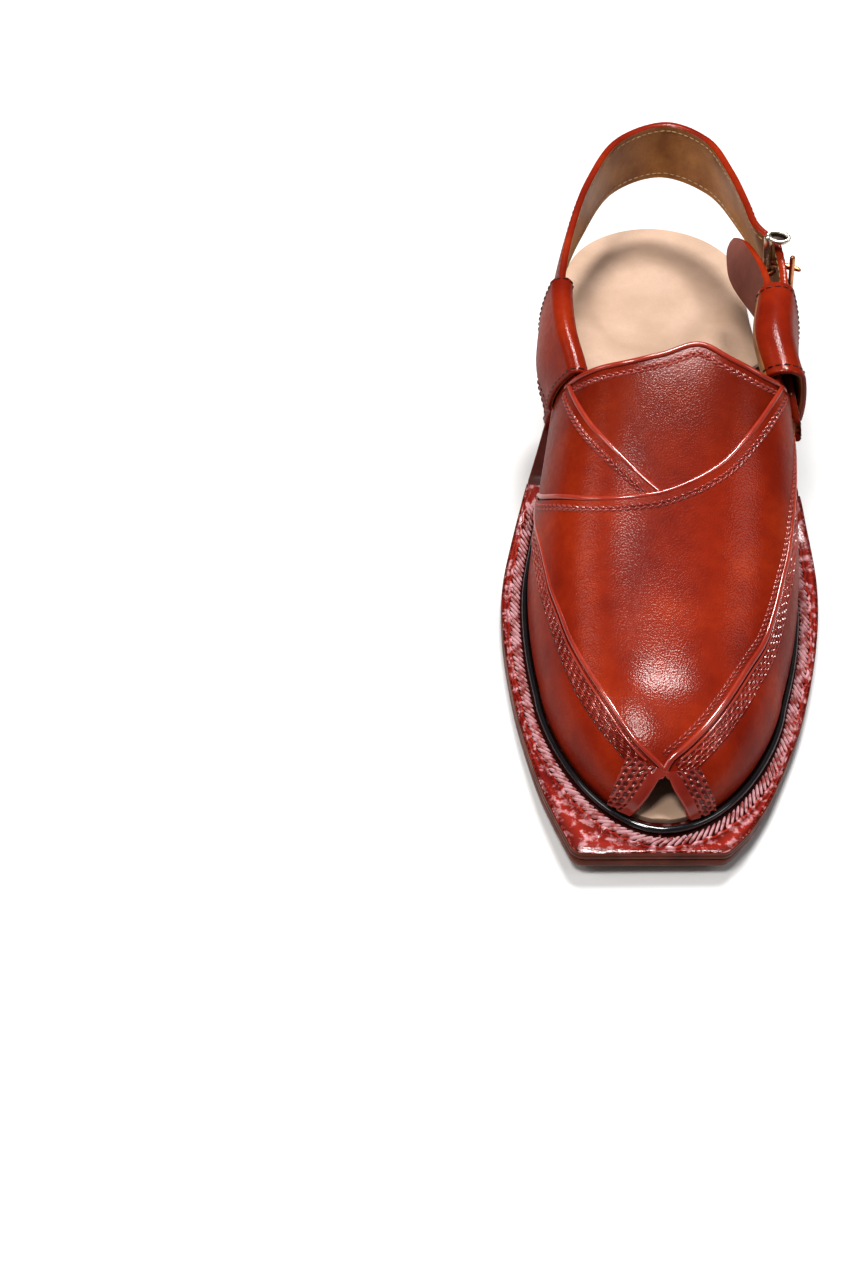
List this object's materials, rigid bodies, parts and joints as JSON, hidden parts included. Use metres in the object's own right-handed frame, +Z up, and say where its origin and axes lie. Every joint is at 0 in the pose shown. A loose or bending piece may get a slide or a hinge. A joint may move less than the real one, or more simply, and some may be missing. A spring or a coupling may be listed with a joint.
{
  "type": "norozi chappal sandal",
  "caption": "Left leather dress sandal with a closed vamp, small toe opening, side cut-outs, side loops, buckled heel strap, welted chiselled sole and stacked heel.",
  "frame": {"origin": "middle of the shoe's footprint on the floor: the middle of the bounding box in X and Y, and its bottom in Z", "axes": "+Z up from the floor, -Y towards the toe, +Y towards the heel, +X towards the outer (buckle) side of this left shoe"},
  "size_m": [0.1124, 0.2926, 0.089],
  "materials": {
    "red_leather": "polished cognac-red calf leather",
    "edge_leather": "dyed and burnished cut edge of sole leather",
    "tan_leather": "natural tan lining leather, matt",
    "black_piping": "glossy black leather piping",
    "black_rubber": "satin black rubber",
    "antique_brass": "antique brass, dark in the recesses"
  },
  "bodies": {
    "root": {"outsole": "edge_leather", "midsole": "edge_leather", "welt": "red_leather", "rand_bead": "black_piping", "insole": "tan_leather", "heel_lift_1": "edge_leather", "heel_lift_2": "edge_leather", "heel_lift_3": "edge_leather", "heel_lift_4": "edge_leather", "heel_top_piece": "black_rubber", "upper": "red_leather", "medial_loop": "red_leather", "lateral_loop": "red_leather", "buckle_frame": "antique_brass", "buckle_prong": "antique_brass"}
  },
  "joints": []
}
